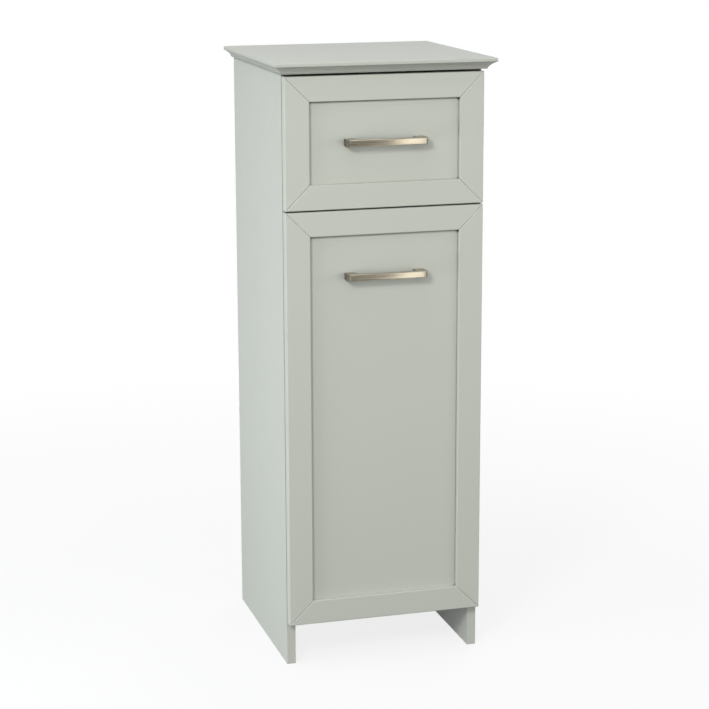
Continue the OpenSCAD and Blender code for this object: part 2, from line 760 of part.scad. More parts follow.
module drawer_rail_top() color(sage) difference() {
    front_rail_top(drawer_z, drawer_front_h);
    both_sides() at_front_screws() pan_screw_hole();
}
module drawer_rail_bottom() color(sage) difference() {
    front_rail_bottom(drawer_z);
    both_sides() at_front_screws() pan_screw_hole();
}
module drawer_stile() front_stile(drawer_z, drawer_front_h);
module drawer_panel() color(sage) difference() {
    front_panel(drawer_z, drawer_front_h);
    handle_holes(drawer_handle_z);
}

module pan_screw_hole() translate([0, 0, -long_screw_len - slide_fit])
    cylinder(h = long_screw_len + slide_fit + cut, r = machine_r + fit);

module drawer_inner_front() color(foil) difference() {
    translate([-box_x, box_front_y, box_z]) cube([2 * box_x, board_t, box_h]);
    box_bottom_groove();
    handle_holes(drawer_handle_z);
    both_sides() {
        at_front_screws() pan_screw_hole();
        at_box_front_screws() confirmat_hole();
    }
}

// Groove for the drawer bottom, cut round the inside of the box
module box_bottom_groove() {
    w = 2 * (box_in_x + box_groove);
    d = box_back_y - (box_front_y + board_t) + 2 * box_groove;
    translate([-w / 2, box_front_y + board_t - box_groove, box_z + box_bottom_up - slide_fit])
        cube([w, d, box_bottom_t + 2 * slide_fit]);
}

module drawer_side() color(foil) difference() {
    translate([box_in_x, box_front_y + board_t, box_z]) cube([board_t, box_len - board_t, box_h]);
    box_bottom_groove();
    at_box_front_screws() confirmat_hole();
    at_box_back_screws() confirmat_hole();
    at_slide_screws() wood_screw_hole(screw_len);
}

module drawer_back() color(foil) difference() {
    translate([-box_in_x, box_back_y, box_z]) cube([2 * box_in_x, board_t, box_h]);
    box_bottom_groove();
    both_sides() at_box_back_screws() confirmat_hole();
}

module drawer_bottom() color(foil) {
    w = 2 * (box_in_x + box_groove - 0.5);
    d = box_back_y - (box_front_y + board_t) + 2 * (box_groove - 0.5);
    translate([-w / 2, box_front_y + board_t - box_groove + 0.5, box_z + box_bottom_up])
        cube([w, d, box_bottom_t]);
}

module drawer_screws() color(zinc) both_sides() {
    at_slide_screws() wood_screw(screw_len);
    at_front_screws() translate([0, 0, machine_head_h]) pan_screw(long_screw_len, machine_r);
}

module drawer_box_screws() color(zinc) both_sides() {
    at_box_front_screws() confirmat();
    at_box_back_screws() confirmat();
}

// Handle: a flat bar on two feet, cast in one piece and rounded at each end
module handle(z) color(nickel) translate([0, panel_y, z]) difference() {
    intersection() {
        translate([0, 0, -handle_h / 2]) linear_extrude(handle_h) handle_plan();
        along_x(-handle_len / 2, handle_len) polygon([
            [0, -handle_h / 2], [handle_chamfer - handle_reach, -handle_h / 2],
            [-handle_reach, handle_chamfer - handle_h / 2], [-handle_reach, handle_h / 2 - handle_chamfer],
            [handle_chamfer - handle_reach, handle_h / 2], [0, handle_h / 2],
        ]);
    }
    both_sides() translate([handle_pitch / 2, 0, 0]) to_front()
        translate([0, 0, -cut]) cylinder(h = cut + machine_grip + cut, r = machine_r + fit);
}

module handle_plan() difference() {
    gap = handle_len / 2 - handle_foot_w;
    deep = handle_reach - handle_bar_t;
    translate([-handle_len / 2, -handle_reach]) square([handle_len, handle_reach]);
    for (s = [0, 1]) mirror([s, 0]) {
        translate([handle_len / 2, -handle_reach]) mirror([1, 0]) corner_cut(handle_round);
        translate([gap - handle_fillet, handle_fillet - deep]) circle(handle_fillet);
    }
    translate([-gap, handle_fillet - deep]) square([2 * gap, deep - handle_fillet + cut]);
    translate([handle_fillet - gap, -deep]) square([2 * (gap - handle_fillet), deep + cut]);
}

module drawer_handle() handle(drawer_handle_z);
module drawer_handle_screws() color(zinc) both_sides()
    translate([handle_pitch / 2, box_front_y + board_t + machine_head_h, drawer_handle_z]) to_back()
        pan_screw(box_front_y + board_t - panel_y + machine_grip, machine_r);

module hamper_handle() handle(hamper_handle_z);
module hamper_handle_screws() color(zinc) both_sides()
    translate([handle_pitch / 2, panel_y + panel_t + machine_head_h, hamper_handle_z]) to_back()
        pan_screw(panel_t + machine_grip, machine_r);

module hamper_rail_top() color(sage) difference() {
    front_rail_top(leg_h, hamper_h);
    at_strike_screw() wood_screw_hole(screw_len);
}
module hamper_rail_bottom() color(sage) difference() {
    front_rail_bottom(leg_h, back_ease);
    both_sides() at_hinge_leaf_screws() wood_screw_hole(screw_len);
}
module hamper_stile() color(sage) difference() {
    front_stile(leg_h, hamper_h);
    at_hamper_cams() bolt_socket();
    at_hamper_dowels() dowel_hole();
}
module hamper_panel() color(sage) difference() {
    front_panel(leg_h, hamper_h);
    handle_holes(hamper_handle_z);
}

// Side of the hamper, drawn from the hinge axis: its curved upper edge passes under the stop
// rail, and the hook at its rear meets the back of the rail when the hamper is open.
module hamper_side_shape() intersection() {
    union() {
        circle(arc_r, $fn = fine_fn);
        rotate(-open_angle) translate([stop_y, 0]) square([hamper_d, hook_r]);
    }
    circle(hook_r, $fn = fine_fn);
    polygon([
        [-barrel_r, hamper_low], [hamper_low_d, hamper_low], [hamper_d, hamper_wide_z],
        [hamper_d, hook_r], [-barrel_r, hook_r],
    ]);
}

module at_rods() for (p = [[rod_front_y, rod_front_z], [rod_rear_y, rod_rear_z]])
    translate([0, hinge_y + p[0], hinge_z + p[1]]) children();

module hamper_side() color(foil) difference() {
    translate([0, hinge_y, hinge_z]) along_x(hamper_x, board_t) hamper_side_shape();
    at_rods() translate([hamper_x - cut, 0, 0]) {
        to_right() cylinder(h = rod_seat + cut, r = rod_r + rod_fit);
        translate([0, -rod_r - rod_fit, 0]) cube([rod_seat + cut, 2 * (rod_r + rod_fit), 2 * rod_drop]);
    }
    at_hamper_cams() cam_pocket();
    at_hamper_dowels() dowel_hole();
}

module hamper_cams() color(zinc) both_sides() at_hamper_cams() cam_lock();
module hamper_cam_bolts() color(zinc) both_sides() at_hamper_cams() cam_bolt();
module hamper_dowels() color(beech) both_sides() at_hamper_dowels() dowel();

module bag_rods() color(zinc) {
    half = hamper_x + rod_seat - rod_end_gap;
    at_rods() translate([-half, 0, 0]) to_right() cylinder(h = 2 * half, r = rod_r);
}

// Laundry bag: an open sack whose front and rear edges are sewn into sleeves round the rods
module laundry_bag() color(linen) translate([0, hinge_y, hinge_z]) {
    floor_y = bag_front_y + bag_floor_d;
    rods = [[rod_front_y, rod_front_z], [rod_rear_y, rod_rear_z]];
    difference() {
        union() {
            difference() {
                along_x(-bag_x, 2 * bag_x) polygon([
                    [bag_front_y, rod_front_z], [bag_front_y, bag_z],
                    [floor_y, bag_z], [bag_rear_y, rod_rear_z],
                ]);
                along_x(-bag_x + bag_t, 2 * (bag_x - bag_t)) polygon([
                    [bag_front_y + bag_t, rod_front_z + sleeve_r], [bag_front_y + bag_t, bag_z + bag_t],
                    [floor_y - bag_t, bag_z + bag_t], [bag_rear_y - bag_t, rod_rear_z],
                    [bag_rear_y - bag_t, rod_front_z + sleeve_r],
                ]);
            }
            for (p = rods) along_x(-bag_x, 2 * bag_x) translate(p) circle(sleeve_r);
        }
        for (p = rods) along_x(-bag_x - cut, 2 * (bag_x + cut)) translate(p) circle(rod_r + sleeve_gap);
    }
}

module strike_plate() color(zinc) difference() {
    translate([-strike_w / 2, face_back_y, divider_z - catch_h / 2 - strike_h / 2])
        cube([strike_w, strike_t, strike_h]);
    at_strike_screw() wood_screw_hole(screw_len);
}

module hamper_screws() color(zinc) {
    both_sides() at_hinge_leaf_screws() wood_screw(screw_len);
    at_strike_screw() wood_screw(screw_len);
}

top_board();
left_side() side_board();  // side_board_left
side_board();  // side_board_right
bottom_board();
divider_board();
back_panel();
stop_rail();
cam_locks();
cam_bolts();
wood_dowels();
back_panel_pins();
catch_housing();
catch_magnet();
left_side() runner();  // runner_left
runner();  // runner_right
left_side() hinge_base();  // hinge_base_left
hinge_base();  // hinge_base_right
left_side() hinge_pin();  // hinge_pin_left
hinge_pin();  // hinge_pin_right
carcass_screws();
front_bumpers();
drawer_rail_top();
drawer_rail_bottom();
left_side() drawer_stile();  // drawer_stile_left
drawer_stile();  // drawer_stile_right
drawer_panel();
drawer_inner_front();
left_side() drawer_side();  // drawer_side_left
drawer_side();  // drawer_side_right
drawer_back();
drawer_bottom();
left_side() drawer_slide();  // drawer_slide_left
drawer_slide();  // drawer_slide_right
drawer_screws();
drawer_box_screws();
drawer_handle();
drawer_handle_screws();
left_side() roller_front();  // roller_front_left
roller_front();  // roller_front_right
left_side() roller_rear();  // roller_rear_left
roller_rear();  // roller_rear_right
hamper_rail_top();
hamper_rail_bottom();
left_side() hamper_stile();  // hamper_stile_left
hamper_stile();  // hamper_stile_right
hamper_panel();
left_side() hamper_side();  // hamper_side_left
hamper_side();  // hamper_side_right
hamper_cams();
hamper_cam_bolts();
hamper_dowels();
bag_rods();
laundry_bag();
hamper_handle();
hamper_handle_screws();
left_side() hinge_leaf();  // hinge_leaf_left
hinge_leaf();  // hinge_leaf_right
strike_plate();
hamper_screws();
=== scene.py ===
# Narrow bathroom cabinet with a drawer and a tilt-out laundry hamper, set up for a product picture.
import bpy
import bmesh
import json
import math
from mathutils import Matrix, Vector


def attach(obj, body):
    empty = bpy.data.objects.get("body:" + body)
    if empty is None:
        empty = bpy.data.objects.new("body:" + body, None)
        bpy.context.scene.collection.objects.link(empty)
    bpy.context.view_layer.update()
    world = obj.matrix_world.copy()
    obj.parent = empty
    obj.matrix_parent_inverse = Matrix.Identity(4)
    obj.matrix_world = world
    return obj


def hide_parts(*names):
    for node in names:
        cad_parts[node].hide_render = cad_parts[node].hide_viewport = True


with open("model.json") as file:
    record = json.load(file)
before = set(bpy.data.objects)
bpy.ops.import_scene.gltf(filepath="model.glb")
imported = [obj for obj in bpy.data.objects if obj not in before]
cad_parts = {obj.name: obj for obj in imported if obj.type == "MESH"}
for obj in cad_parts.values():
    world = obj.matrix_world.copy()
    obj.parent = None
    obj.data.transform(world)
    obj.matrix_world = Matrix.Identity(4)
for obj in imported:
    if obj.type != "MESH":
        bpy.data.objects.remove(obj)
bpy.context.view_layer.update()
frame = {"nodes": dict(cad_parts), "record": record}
nodes = frame["nodes"]
print("cabinet loaded:", len(nodes), "pieces")

# camera at the photograph's angle
cameraValues = {
    "place": (-0.780, -2.702, 1.052),
    "turn": (76.9299, 0.1753, -16.0707),  # degrees
    "lens": 104.7,
    "sensor": 36,
    "clip": (0.05, 60),
}


def makeCamera(v):
    data = bpy.data.cameras.new("photoCamera")
    data.lens = v["lens"]
    data.sensor_width = v["sensor"]
    data.clip_start, data.clip_end = v["clip"]
    camera = bpy.data.objects.new("photoCamera", data)
    camera.location = v["place"]
    camera.rotation_euler = [math.radians(a) for a in v["turn"]]
    bpy.context.scene.collection.objects.link(camera)
    bpy.context.scene.camera = camera


makeCamera(cameraValues)
print("camera placed")


# small helpers for colours and nodes
def rgb(red, green, blue):
    # a colour as a picture shows it, 0 to 255, made linear
    def lin(v):
        v = v / 255
        return v / 12.92 if v <= 0.04045 else ((v + 0.055) / 1.055) ** 2.4
    return (lin(red), lin(green), lin(blue), 1.0)


white = (1, 1, 1, 1)
black = (0, 0, 0, 1)
# sockets of a Mix node, whose names repeat: for colours, then for numbers
mixFactor, mixFirst, mixSecond, mixResult = 0, 6, 7, 2
numberFirst, numberSecond = 2, 3
wholeSpan = (0.0, 1.0)
wideSpan = (0.3, 0.7)  # most of a noise lies in this
narrowSpan = (0.35, 0.65)  # the same, with more contrast


def addNode(tree, kind, x, y, **values):
    node = tree.nodes.new(kind)
    node.location = (x, y)
    for name, value in values.items():
        setattr(node, name, value)
    return node


def setInputs(node, **values):
    for name, value in values.items():
        node.inputs[name.replace("_", " ")].default_value = value
    return node


def join(tree, *rows):
    # each row: a node, its output, the node that it feeds, that node's input
    for source, output, target, socket in rows:
        tree.links.new(source.outputs[output], target.inputs[socket])


def addMath(tree, operation, x, y, **values):
    return addNode(tree, "ShaderNodeMath", x, y, operation=operation, **values)


def addVectorMath(tree, operation, x, y):
    return addNode(tree, "ShaderNodeVectorMath", x, y, operation=operation)


def addNoise(tree, x, y, **inputs):
    return setInputs(addNode(tree, "ShaderNodeTexNoise", x, y), **inputs)


def addBump(tree, x, y, **inputs):
    return setInputs(addNode(tree, "ShaderNodeBump", x, y), Strength=1.0, **inputs)


def mixColours(tree, x, y, first=None, second=None):
    mix = addNode(tree, "ShaderNodeMix", x, y, data_type="RGBA")
    for socket, colour in ((mixFirst, first), (mixSecond, second)):
        if colour:
            mix.inputs[socket].default_value = colour
    return mix


def spreadValue(tree, x, y, span, result=wholeSpan):
    # turns the numbers of one span into those of another
    spread = addNode(tree, "ShaderNodeMapRange", x, y)
    return setInputs(spread, From_Min=span[0], From_Max=span[1], To_Min=result[0], To_Max=result[1])


# shared effects
def newGroup(name, numbers, results, takesNormal=False):
    # numbers are its inputs with their usual values, and results its outputs
    group = bpy.data.node_groups.new(name, "ShaderNodeTree")
    sockets = group.interface
    for socket, value in numbers.items():
        added = sockets.new_socket(socket, in_out="INPUT", socket_type="NodeSocketFloat")
        added.default_value = value
    if takesNormal:
        sockets.new_socket("Normal", in_out="INPUT", socket_type="NodeSocketVector")
    for socket in results:
        kind = "NodeSocketVector" if socket == "Normal" else "NodeSocketFloat"
        sockets.new_socket(socket, in_out="OUTPUT", socket_type=kind)
    return group


def perMetre(group, x, y, gin, size):
    # how many times a size goes into a metre, which is a texture's scale
    share = addMath(group, "DIVIDE", x, y)
    share.inputs[0].default_value = 1.0
    join(group, (gin, size, share, 1))
    return share


edgeValues = {
    "samples": 6,
    "cornerShadeSamples": 12,
    "wearHighlightSpan": (0.995, 0.8),  # rounded normal against the face's own: no lighter edge, full lighter edge, from rubbing and as painted highlight
    "highlightUpSpan": (-0.1, 0.35),  # edges that look up get more of the painted highlight, from the least share to all of it
    "leastUpHighlight": 0.4,
    "cornerShadeTilt": (0, 0, 0.5),  # how far the painted shade of an inner corner looks up for the sky, so that more of it falls under things
    "shadeFadeSpan": (0.1, 0.45),  # the painted shade of corners fades out on faces that look up this much
}


def makeEdgeGroup(v):
    # rounds sharp edges for the light, and gives two masks: lighter edges, from rubbing and as a
    # painted highlight that is stronger where edges look up, and inner corners darkened as painted
    # shade
    group = newGroup("softEdgeAndShade", {"Radius": 0.0006, "Reach": 0.004, "Open": 0.62, "Shut": 0.44},
                     ("Normal", "Edge", "Corner Shade"))
    gin = addNode(group, "NodeGroupInput", -1000, 0)
    gout = addNode(group, "NodeGroupOutput", 600, 0)
    geometry = addNode(group, "ShaderNodeNewGeometry", -1000, -300)
    bevel = addNode(group, "ShaderNodeBevel", -600, 0, samples=v["samples"])
    # lighter edges, from rubbing and as painted highlight, stronger on edges that look up
    dot = addVectorMath(group, "DOT_PRODUCT", -400, -120)
    wearAndHighlight = spreadValue(group, -200, -120, v["wearHighlightSpan"])
    rounded = addNode(group, "ShaderNodeSeparateXYZ", -400, 150)
    upwardHighlight = spreadValue(group, -200, 150, v["highlightUpSpan"], (v["leastUpHighlight"], 1.0))
    # inner corners darkened as painted shade: ambient occlusion tilted up, fading on faces that look
    # up
    tilt = addVectorMath(group, "ADD", -800, -400)
    tilt.inputs[1].default_value = v["cornerShadeTilt"]
    level = addVectorMath(group, "NORMALIZE", -600, -400)
    hidden = addNode(group, "ShaderNodeAmbientOcclusion", -400, -400, samples=v["cornerShadeSamples"])
    corner = addNode(group, "ShaderNodeMapRange", -200, -400)
    parts = addNode(group, "ShaderNodeSeparateXYZ", -400, -700)
    shadeFade = spreadValue(group, -200, -700, v["shadeFadeSpan"], (1.0, 0.0))
    cornerShade = addMath(group, "MULTIPLY", 0, -500)
    # the lighter edges stay out of the corners that get painted shade
    clear = addMath(group, "SUBTRACT", 150, -350, use_clamp=True)
    clear.inputs[0].default_value = 1.0
    outer = addMath(group, "MULTIPLY", 300, -200)
    wearHighlightMask = addMath(group, "MULTIPLY", 450, -50)
    join(group,
         (gin, "Radius", bevel, "Radius"),
         (bevel, "Normal", gout, "Normal"),
         (bevel, "Normal", dot, 0),
         (geometry, "True Normal", dot, 1),
         (dot, "Value", wearAndHighlight, "Value"),
         (bevel, "Normal", rounded, "Vector"),
         (rounded, "Z", upwardHighlight, "Value"),
         (geometry, "Normal", tilt, 0),
         (tilt, "Vector", level, 0),
         (level, "Vector", hidden, "Normal"),
         (gin, "Reach", hidden, "Distance"),
         (hidden, "AO", corner, "Value"),
         (gin, "Open", corner, "From Min"),
         (gin, "Shut", corner, "From Max"),
         (geometry, "Normal", parts, "Vector"),
         (parts, "Z", shadeFade, "Value"),
         (corner, "Result", cornerShade, 0),
         (shadeFade, "Result", cornerShade, 1),
         (cornerShade, 0, gout, "Corner Shade"),
         (cornerShade, 0, clear, 1),
         (wearAndHighlight, "Result", outer, 0),
         (clear, 0, outer, 1),
         (outer, 0, wearHighlightMask, 0),
         (upwardHighlight, "Result", wearHighlightMask, 1),
         (wearHighlightMask, 0, gout, "Edge"))
    return group


def makeSprayGroup():
    # fine peel of a sprayed coat, with slow changes of tone and gloss
    group = newGroup("sprayCoat", {"Grain Size": 0.0012, "Grain Height": 0.00002, "Tone Size": 0.18},
                     ("Tone", "Gloss", "Normal"), takesNormal=True)
    gin = addNode(group, "NodeGroupInput", -900, 0)
    gout = addNode(group, "NodeGroupOutput", 600, 0)
    coords = addNode(group, "ShaderNodeTexCoord", -900, -300)
    grainScale = perMetre(group, -650, -100, gin, "Grain Size")
    toneScale = perMetre(group, -650, -300, gin, "Tone Size")
    grain = addNoise(group, -400, -50, Detail=2.0, Roughness=0.55)
    tone = addNoise(group, -400, -350, Detail=3.0, Roughness=0.5)
    gloss = addNoise(group, -400, -650, Scale=28.0, Detail=4.0, Roughness=0.6)
    bump = addBump(group, 100, 0)
    join(group,
         (coords, "Object", grain, "Vector"),
         (coords, "Object", tone, "Vector"),
         (coords, "Object", gloss, "Vector"),
         (grainScale, 0, grain, "Scale"),
         (toneScale, 0, tone, "Scale"),
         (grain, "Fac", bump, "Height"),
         (gin, "Grain Height", bump, "Distance"),
         (gin, "Normal", bump, "Normal"),
         (tone, "Fac", gout, "Tone"),
         (gloss, "Fac", gout, "Gloss"),
         (bump, "Normal", gout, "Normal"))
    return group


brushStretch = (0.012, 1.0, 1.0)  # a low scale along X draws the noise out into lines


def makeBrushGroup(stretchBy):
    # fine straight brush lines along X, seen as streaks of tone and tiny ridges
    group = newGroup("brushLines", {"Line Width": 0.0002, "Line Height": 0.000006},
                     ("Streak", "Normal"), takesNormal=True)
    gin = addNode(group, "NodeGroupInput", -900, 0)
    gout = addNode(group, "NodeGroupOutput", 500, 0)
    coords = addNode(group, "ShaderNodeTexCoord", -900, -250)
    stretch = addNode(group, "ShaderNodeMapping", -700, -250)
    setInputs(stretch, Scale=stretchBy)
    scale = perMetre(group, -700, 0, gin, "Line Width")
    lines = addNoise(group, -450, -100, Detail=3.0, Roughness=0.65)
    bump = addBump(group, 100, 0)
    join(group,
         (coords, "Object", stretch, "Vector"),
         (stretch, "Vector", lines, "Vector"),
         (scale, 0, lines, "Scale"),
         (lines, "Fac", bump, "Height"),
         (gin, "Line Height", bump, "Distance"),
         (gin, "Normal", bump, "Normal"),
         (lines, "Fac", gout, "Streak"),
         (bump, "Normal", gout, "Normal"))
    return group


def makeBowGroup():
    # a bar along X, slightly bowed, with ends that turn away: the light sees it, the outline doesn't
    group = newGroup("bowedBar", {"Half Length": 0.05, "End Length": 0.004, "Bow": 0.2, "Turn": 0.4},
                     ("Normal",), takesNormal=True)
    gin = addNode(group, "NodeGroupInput", -1100, 0)
    gout = addNode(group, "NodeGroupOutput", 700, 0)
    coords = addNode(group, "ShaderNodeTexCoord", -1100, -300)
    parts = addNode(group, "ShaderNodeSeparateXYZ", -900, -300)
    along = addMath(group, "DIVIDE", -700, -200)
    bow = addMath(group, "MULTIPLY", -500, -200)
    off = addMath(group, "ABSOLUTE", -700, -450)
    start = addMath(group, "SUBTRACT", -700, -650)
    end = addNode(group, "ShaderNodeMapRange", -500, -450, interpolation_type="SMOOTHSTEP")
    turn = addMath(group, "MULTIPLY", -300, -450)
    side = addMath(group, "SIGN", -500, -700)
    sideways = addMath(group, "MULTIPLY", -100, -450)
    lean = addMath(group, "ADD", 50, -300)
    vector = addNode(group, "ShaderNodeCombineXYZ", 200, -300)
    placed = addNode(group, "ShaderNodeVectorTransform", 350, -300,
                     vector_type="VECTOR", convert_from="OBJECT", convert_to="WORLD")
    leant = addVectorMath(group, "ADD", 400, 0)
    unit = addVectorMath(group, "NORMALIZE", 550, 0)
    join(group,
         (coords, "Object", parts, "Vector"),
         (parts, "X", along, 0),
         (gin, "Half Length", along, 1),
         (along, 0, bow, 0),
         (gin, "Bow", bow, 1),
         (parts, "X", off, 0),
         (gin, "Half Length", start, 0),
         (gin, "End Length", start, 1),
         (off, 0, end, "Value"),
         (start, 0, end, "From Min"),
         (gin, "Half Length", end, "From Max"),
         (end, "Result", turn, 0),
         (gin, "Turn", turn, 1),
         (parts, "X", side, 0),
         (turn, 0, sideways, 0),
         (side, 0, sideways, 1),
         (bow, 0, lean, 0),
         (sideways, 0, lean, 1),
         (lean, 0, vector, "X"),
         (vector, "Vector", placed, "Vector"),
         (gin, "Normal", leant, 0),
         (placed, "Vector", leant, 1),
         (leant, "Vector", unit, 0),
         (unit, "Vector", gout, "Normal"))
    return group


def makeWeaveGroup():
    # plain canvas weave on the piece's own flat cut: warp over weft in turn, with uneven threads
    group = newGroup("canvasWeave", {"Thread Size": 0.0011, "Thread Height": 0.0003},
                     ("Thread", "Slub", "Normal"))
    gin = addNode(group, "NodeGroupInput", -1300, 0)
    gout = addNode(group, "NodeGroupOutput", 900, 0)
    coords = addNode(group, "ShaderNodeTexCoord", -1300, -300)
    scale = perMetre(group, -1100, 0, gin, "Thread Size")
    threads = addVectorMath(group, "SCALE", -900, -100)
    checks = addNode(group, "ShaderNodeTexChecker", -400, 200)
    setInputs(checks, Scale=1.0, Color1=black, Color2=white)
    axes = addNode(group, "ShaderNodeSeparateXYZ", -700, -100)
    over = addNode(group, "ShaderNodeMix", 150, 0, data_type="FLOAT")
    for y, axis, socket in ((-100, "X", numberFirst), (-300, "Y", numberSecond)):
        turn = addMath(group, "MULTIPLY", -500, y)
        turn.inputs[1].default_value = math.pi
        wave = addMath(group, "SINE", -300, y)
        crown = addMath(group, "ABSOLUTE", -100, y)
        join(group,
             (axes, axis, turn, 0),
             (turn, 0, wave, 0),
             (wave, 0, crown, 0),
             (crown, 0, over, socket))
    slub = addNoise(group, -400, -600, Scale=0.35, Detail=4.0, Roughness=0.65)
    height = addMath(group, "MULTIPLY", 350, -100)
    bump = addBump(group, 600, -100)
    join(group,
         (coords, "UV", threads, 0),
         (scale, 0, threads, "Scale"),
         (threads, "Vector", checks, "Vector"),
         (threads, "Vector", axes, "Vector"),
         (threads, "Vector", slub, "Vector"),
         (checks, "Fac", over, 0),
         (over, 0, height, 0),
         (slub, "Fac", height, 1),
         (height, 0, bump, "Height"),
         (gin, "Thread Height", bump, "Distance"),
         (over, 0, gout, "Thread"),
         (slub, "Fac", gout, "Slub"),
         (bump, "Normal", gout, "Normal"))
    return group


softEdgeAndShade = makeEdgeGroup(edgeValues)
sprayCoat = makeSprayGroup()
brushLines = makeBrushGroup(brushStretch)
bowedBar = makeBowGroup()
canvasWeave = makeWeaveGroup()


# finishes
def emptyTree(owner):
    owner.use_nodes = True
    owner.node_tree.nodes.clear()
    return owner.node_tree


def newMaterial(name):
    material = bpy.data.materials.new(name)
    tree = emptyTree(material)
    output = addNode(tree, "ShaderNodeOutputMaterial", 900, 0)
    shader = addNode(tree, "ShaderNodeBsdfPrincipled", 600, 0)
    join(tree, (shader, "BSDF", output, "Surface"))
    return material, tree, shader


def placeGroup(tree, group, x, y, **values):
    node = addNode(tree, "ShaderNodeGroup", x, y, node_tree=group)
    return setInputs(node, **values)


def placeEdge(tree, v):
    starts, full = v["cornerShadeSpan"]
    return placeGroup(tree, softEdgeAndShade, -600, -200, Radius=v["edgeRadius"], Reach=v["cornerShadeReach"],
                      Open=starts, Shut=full)


def wearHighlightAndShade(tree, v, edge, tone, shader):
    # edges lighter on the plain tone, from rubbing and as painted highlight, then painted shade in
    # the inner corners
    wearAndHighlight = mixColours(tree, 200, 200, second=v["wearHighlightTone"])
    cornerShaded = mixColours(tree, 400, 200, second=v["cornerShadeTone"])
    wearHighlightAmount = spreadValue(tree, 0, -100, wholeSpan, (0.0, v["wearHighlightLift"]))
    cornerShadeAmount = spreadValue(tree, 0, -500, wholeSpan, (0.0, v["cornerShadeDepth"]))
    join(tree,
         (edge, "Edge", wearHighlightAmount, "Value"),
         (wearHighlightAmount, "Result", wearAndHighlight, mixFactor),
         (tone, mixResult, wearAndHighlight, mixFirst),
         (edge, "Corner Shade", cornerShadeAmount, "Value"),
         (cornerShadeAmount, "Result", cornerShaded, mixFactor),
         (wearAndHighlight, mixResult, cornerShaded, mixFirst),
         (cornerShaded, mixResult, shader, "Base Color"))


def makeCoat(name, v):
    # coated boards and plastics: a sprayed paint, a printed foil or a moulded skin
    material, tree, shader = newMaterial(name)
    edge = placeEdge(tree, v)
    spray = placeGroup(tree, sprayCoat, -350, 0, Grain_Size=v["grainSize"],
                       Grain_Height=v["grainHeight"], Tone_Size=v["toneSize"])
    tone = mixColours(tree, 0, 200, v["darkTone"], v["lightTone"])
    gloss = spreadValue(tree, 0, -300, wideSpan, v["roughness"])
    join(tree,
         (edge, "Normal", spray, "Normal"),
         (spray, "Tone", tone, mixFactor),
         (spray, "Gloss", gloss, "Value"),
         (gloss, "Result", shader, "Roughness"),
         (spray, "Normal", shader, "Normal"))
    wearHighlightAndShade(tree, v, edge, tone, shader)
    return material


def makeMetal(name, v):
    # brushed or plated metal, with a bar's bow where the values have one
    material, tree, shader = newMaterial(name)
    setInputs(shader, Metallic=1.0)
    edge = placeEdge(tree, v)
    brush = placeGroup(tree, brushLines, -350, 0, Line_Width=v["lineWidth"],
                       Line_Height=v["lineHeight"])
    tone = mixColours(tree, 0, 200, v["darkTone"], v["lightTone"])
    streaks = spreadValue(tree, -150, 200, wideSpan)
    gloss = spreadValue(tree, 0, -300, wideSpan, v["roughness"])
    join(tree,
         (edge, "Normal", brush, "Normal"),
         (brush, "Streak", streaks, "Value"),
         (streaks, "Result", tone, mixFactor),
         (brush, "Streak", gloss, "Value"),
         (gloss, "Result", shader, "Roughness"))
    wearHighlightAndShade(tree, v, edge, tone, shader)
    last = brush
    if v["bar"]:
        last = placeGroup(tree, bowedBar, 200, -700, **v["bar"])
        join(tree, (brush, "Normal", last, "Normal"))
    join(tree, (last, "Normal", shader, "Normal"))
    return material


def makeWood(name, v):
    # growth lines along X, as on the level dowels
    material, tree, shader = newMaterial(name)
    setInputs(shader, Roughness=v["roughness"])
    coords = addNode(tree, "ShaderNodeTexCoord", -900, 0)
    stretch = addNode(tree, "ShaderNodeMapping", -700, 0)
    setInputs(stretch, Scale=v["stretch"])
    rings = addNoise(tree, -450, 0, Scale=v["grainScale"], Detail=5.0, Roughness=0.6)
    tone = mixColours(tree, 0, 200, v["darkTone"], v["lightTone"])
    spread = spreadValue(tree, -200, 100, narrowSpan)
    bump = addBump(tree, 300, -200, Distance=v["grainHeight"])
    join(tree,
         (coords, "Object", stretch, "Vector"),
         (stretch, "Vector", rings, "Vector"),
         (rings, "Fac", spread, "Value"),
         (spread, "Result", tone, mixFactor),
         (tone, mixResult, shader, "Base Color"),
         (rings, "Fac", bump, "Height"),
         (bump, "Normal", shader, "Normal"))
    return material


def makeCloth(name, v):
    # unbleached canvas: thread tone, painted shade in the gaps between threads, slubs, and a soft
    # fuzz at the rim
    material, tree, shader = newMaterial(name)
    setInputs(shader, Roughness=v["roughness"], Sheen_Weight=v["fuzz"],
              Sheen_Roughness=v["fuzzRoughness"])
    weave = placeGroup(tree, canvasWeave, -600, 0, Thread_Size=v["threadSize"],
                       Thread_Height=v["threadHeight"])
    tone = mixColours(tree, -100, 200, v["darkTone"], v["lightTone"])
    threads = mixColours(tree, 200, 200, first=v["gapShadeTone"])
    slub = spreadValue(tree, -350, 200, narrowSpan)
    gapShade = spreadValue(tree, -350, -100, v["gapShadeSpan"])
    join(tree,
         (weave, "Slub", slub, "Value"),
         (slub, "Result", tone, mixFactor),
         (weave, "Thread", gapShade, "Value"),
         (gapShade, "Result", threads, mixFactor),
         (tone, mixResult, threads, mixSecond),
         (threads, mixResult, shader, "Base Color"),
         (weave, "Normal", shader, "Normal"))
    return material


# values of each finish: sizes in metres; edges are lighter from rubbing and as painted highlight,
# and inner corners darker as painted shade
paintValues = {
    "darkTone": rgb(188, 191, 182),
    "lightTone": rgb(191, 194, 185),
    # lighter edges, from rubbing and as painted highlight; darker inner corners, as painted shade
    "wearHighlightTone": rgb(248, 250, 245),
    "wearHighlightLift": 1.0,
    "edgeRadius": 0.0008,
    "cornerShadeTone": rgb(40, 42, 37),
    "cornerShadeDepth": 0.9,
    "cornerShadeReach": 0.005,
    "cornerShadeSpan": (0.62, 0.44),  # share of open sky at which the painted shade starts and is full
    "grainSize": 0.0011,
    "grainHeight": 0.00002,
    "toneSize": 0.3,
    "roughness": (0.44, 0.49),
}
